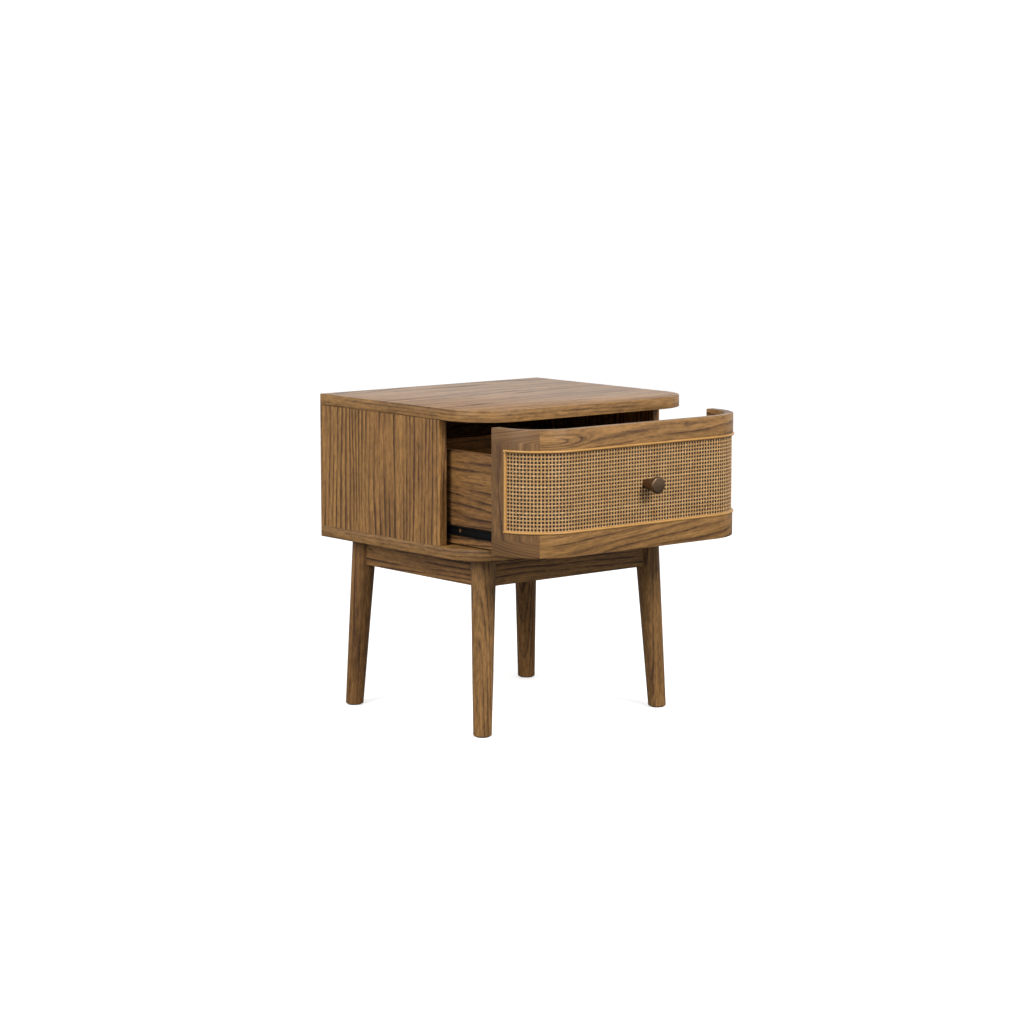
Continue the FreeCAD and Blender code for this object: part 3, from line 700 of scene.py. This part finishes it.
SPLINE_R = 0.00195
SPLINE_PROUD = 0.002
SPLINE_DEEP = 0.0036
REED_SIDES = 14
BEND_STEPS = 26


def reed_profile(bm, matrix):
    """The reed's oval section, placed by a matrix: its x runs outwards."""
    made = bmesh.ops.create_circle(bm, cap_ends=True, segments=REED_SIDES, radius=1.0)["verts"]
    bmesh.ops.scale(bm, verts=made, vec=((SPLINE_PROUD + SPLINE_DEEP) / 2, SPLINE_R, 1))
    bmesh.ops.translate(bm, verts=made, vec=((SPLINE_PROUD - SPLINE_DEEP) / 2, 0, 0))
    bmesh.ops.transform(bm, verts=made, matrix=matrix)


def turned_section(length, height):
    """Matrix that stands a section across the reed's path at a length round the front."""
    out = (on_front(length, -1e-3, height) - on_front(length, 0, height)).normalized()
    up = Vector((0, 0, 1))
    turn = Matrix((out, up, out.cross(up))).transposed().to_4x4()
    return Matrix.Translation(on_front(length, 0, height)) @ turn


def bend_reed(bm, section, side):
    """Spins the reed's end section round a front corner, and gives the section that it ends in."""
    axis = Vector((side * FLAT, front_y + CORNER_R, 0))
    bent = bmesh.ops.spin(bm, geom=section, cent=axis, axis=(0, 0, 1), angle=window_turn, steps=BEND_STEPS,
                          use_duplicate=False)
    return [g for g in bent["geom_last"] if isinstance(g, bmesh.types.BMFace)]


def push_reed(bm, section, way):
    """Extrudes the reed's end section, and gives the section that it ends in."""
    run = bmesh.ops.extrude_face_region(bm, geom=section)["geom"]
    ahead = [v for v in run if isinstance(v, bmesh.types.BMVert)]
    bmesh.ops.translate(bm, verts=ahead, vec=way)
    return [g for g in run if isinstance(g, bmesh.types.BMFace)]


def level_reed(height):
    """A reed that runs round the left corner, along the front and round the right corner."""
    bm = bmesh.new()
    reed_profile(bm, turned_section(-window_end, height))
    left = bend_reed(bm, list(bm.faces), -1)
    right = push_reed(bm, left, (2 * FLAT, 0, 0))
    bmesh.ops.delete(bm, geom=left, context="FACES_ONLY")
    bend_reed(bm, right, 1)
    bmesh.ops.delete(bm, geom=right, context="FACES_ONLY")
    bmesh.ops.recalc_face_normals(bm, faces=bm.faces)
    return bm


def upright_reed(side):
    """A short reed up one end of the window."""
    bm = bmesh.new()
    length = side * (window_end - SPLINE_R)
    section = turned_section(length, 0) @ Matrix.Rotation(math.pi / 2, 4, "X")
    reed_profile(bm, Matrix.Translation((0, 0, spline_low + SPLINE_R)) @ section)
    push_reed(bm, list(bm.faces), (0, 0, spline_high - spline_low - 2 * SPLINE_R))
    bmesh.ops.recalc_face_normals(bm, faces=bm.faces)
    return bm


def reed(name):
    """Orange-tan rattan with fine fibres and darker flecks."""
    made, tree, shader = new_material(name)
    place = add_node(tree, "ShaderNodeTexCoord", {}).outputs["Object"]
    fleck = stretched_noise(tree, place, (55, 55, 500), 3.0)
    tan = blend_colour(tree, fleck, (0.32, 0.16, 0.041, 1), (0.56, 0.3, 0.088, 1))
    wire(tree, shader.inputs["Base Color"], tan)
    wire(tree, shader.inputs["Roughness"], calc(tree, "ADD", 0.32, calc(tree, "MULTIPLY", fleck, 0.2)))
    emboss(tree, shader, fleck, 0.0002, 0.3)
    return made


rattan = reed("rattan_reed")
reeds = {"top": level_reed(spline_high - SPLINE_R), "bottom": level_reed(spline_low + SPLINE_R),
         "left": upright_reed(-1), "right": upright_reed(1)}
for place, bm in reeds.items():
    finish_piece(bm, "reed_" + place, [rattan], "drawer", "cane_spline_" + place)


# Knob.  Turned metal in a dark bronze satin finish: a slim neck that flares into a flat disc
# with a small chamfer, screwed on from inside the front.

knob_low, knob_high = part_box("knob")
KNOB_R = (knob_high.x - knob_low.x) / 2
NECK_R = 0.0078
NECK_BASE = 0.003
DISC_T = 0.0065
FLARE_LIP = 0.0016
BACK_EASE = 0.001
CHAMFER = 0.0016
KNOB_EASE = 0.0003
KNOB_SHARP = math.radians(25)
knob_z = (knob_low.z + knob_high.z) / 2
disc_back = knob_low.y + DISC_T
bm = bmesh.new()
outline = [(NECK_R, knob_high.y), (NECK_R, knob_high.y - NECK_BASE),
           (KNOB_R - FLARE_LIP, disc_back), (KNOB_R, disc_back - BACK_EASE),
           (KNOB_R, knob_low.y + CHAMFER), (KNOB_R - CHAMFER, knob_low.y)]
points = [bm.verts.new((r, y, knob_z)) for r, y in outline]
edges = [bm.edges.new(pair) for pair in zip(points, points[1:])]
bmesh.ops.spin(bm, geom=points + edges, cent=(0, 0, knob_z), axis=(0, 1, 0), angle=math.tau, steps=72,
               use_merge=True, use_duplicate=False)
bmesh.ops.remove_doubles(bm, verts=bm.verts, dist=1e-6)
bmesh.ops.holes_fill(bm, edges=bm.edges, sides=0)
bmesh.ops.recalc_face_normals(bm, faces=bm.faces)
ridges = [e for e in bm.edges if len(e.link_faces) == 2 and e.calc_face_angle() > KNOB_SHARP]
round_edges(bm, ridges, KNOB_EASE, 2)
bronze = metal("dark_bronze", (0.178, 0.115, 0.069, 1), 0.4, 0.14)
finish_piece(bm, "turned_knob", [bronze], "drawer", "knob")


# Studio.  A white floor that runs out of sight, a white surround that is brightest behind the
# piece and throws a sheen on its top, a soft key light in front and above, a soft fill light on
# the left, and a camera that looks down a little at the left front corner.

FLOOR_HALF = 30
FLOOR_GLOW = 0.5


def studio_white():
    """Plain matt white for the floor, lifted a little so that shadows on it stay faint."""
    made, tree, shader = new_material("studio_white")
    shader.inputs["Base Color"].default_value = (0.9, 0.9, 0.9, 1)
    shader.inputs["Roughness"].default_value = 0.9
    shader.inputs["Emission Color"].default_value = (1, 1, 1, 1)
    shader.inputs["Emission Strength"].default_value = FLOOR_GLOW
    return made


bm = bmesh.new()
bmesh.ops.create_grid(bm, x_segments=1, y_segments=1, size=FLOOR_HALF)
mesh = bpy.data.meshes.new("studio_floor")
bm.to_mesh(mesh)
bm.free()
mesh.materials.append(studio_white())
floor = bpy.data.objects.new("studio_floor", mesh)
bpy.context.scene.collection.objects.link(floor)
floor.visible_diffuse = False
floor.visible_glossy = False

# The surround's brightness: by height, where 0.5 is level and 1 is 30 degrees up, and by how
# nearly a direction is the backdrop's, where 1 is straight behind.
BY_HEIGHT = [(0.38, 0.12), (0.46, 1.0), (0.72, 1.0), (0.86, 0.5), (1.0, 0.5)]
BY_HEADING = [(0.7, 0.57), (0.93, 1.0)]
BACKDROP = (0.64, 0.77, 0)
world = bpy.data.worlds.new("white_surround")
world.use_nodes = True
tree = world.node_tree
heading = add_node(tree, "ShaderNodeTexCoord", {}).outputs["Generated"]
height = add_node(tree, "ShaderNodeSeparateXYZ", {0: heading}).outputs[2]
glow = ramp(tree, calc(tree, "ADD", height, 0.5), BY_HEIGHT)
behind = calc_vector(tree, "DOT_PRODUCT", heading, BACKDROP)["Value"]
behind = calc(tree, "ADD", calc(tree, "MULTIPLY", behind, 0.5), 0.5)
glow = calc(tree, "MULTIPLY", glow, ramp(tree, behind, BY_HEADING))
wire(tree, tree.nodes["Background"].inputs["Color"], glow)
tree.nodes["Background"].inputs["Strength"].default_value = 1.56
bpy.context.scene.world = world
bpy.context.scene.view_settings.view_transform = "Standard"


def soft_light(name, place, target, size, power):
    """A square area light aimed at a point."""
    light = bpy.data.lights.new(name, "AREA")
    light.size = size
    light.energy = power
    made = bpy.data.objects.new(name, light)
    made.location = place
    made.rotation_euler = (Vector(target) - Vector(place)).to_track_quat("-Z", "Y").to_euler()
    bpy.context.scene.collection.objects.link(made)


soft_light("key_light", (0.1, -2.6, 1.9), (0, 0, 0.35), 1.0, 76)
soft_light("fill_light", (-2.9, -0.5, 1.86), (0, 0, 0.3), 1.6, 73)

TILT_DOWN = 0.1353
TURN_RIGHT = 0.6938
camera = bpy.data.cameras.new("camera")
camera.lens = 102.89
camera.clip_end = 100
viewer = bpy.data.objects.new("camera", camera)
viewer.location = (-2.9320, -3.4557, 0.93737)
viewer.rotation_euler = (math.pi / 2 - TILT_DOWN, 0, -TURN_RIGHT)
bpy.context.scene.collection.objects.link(viewer)
bpy.context.scene.camera = viewer
